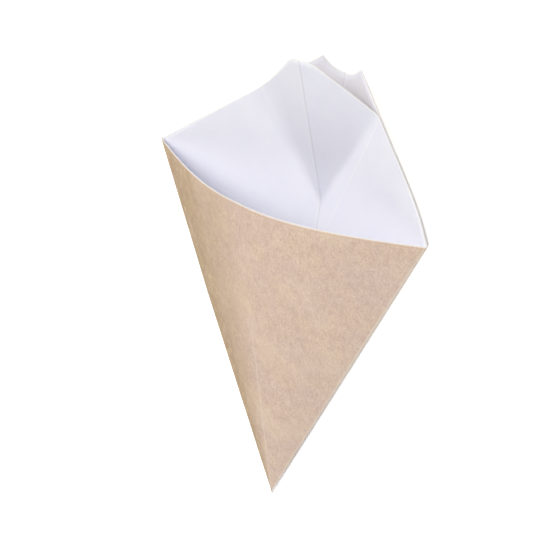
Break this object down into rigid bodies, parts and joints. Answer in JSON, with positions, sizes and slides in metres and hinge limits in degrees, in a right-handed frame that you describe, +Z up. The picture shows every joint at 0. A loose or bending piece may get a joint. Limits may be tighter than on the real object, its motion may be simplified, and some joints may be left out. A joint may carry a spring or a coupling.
{
  "type": "french fries cone",
  "caption": "Folded kraft board cone for french fries, with a pushed-out partition that forms a sauce pocket at its notched raised back.",
  "frame": {"origin": "middle of the left half of the outer back, on the outer face that the cone lies on", "axes": "+Y along the back's centre fold, from the tip towards the raised top; +Z up, away from the resting face; +X across the cone, towards its raised right side"},
  "size_m": [0.1805, 0.209, 0.0548],
  "materials": {
    "kraft_board": "matt"
  },
  "bodies": {
    "root": {"folded_board": "kraft_board"}
  },
  "joints": []
}
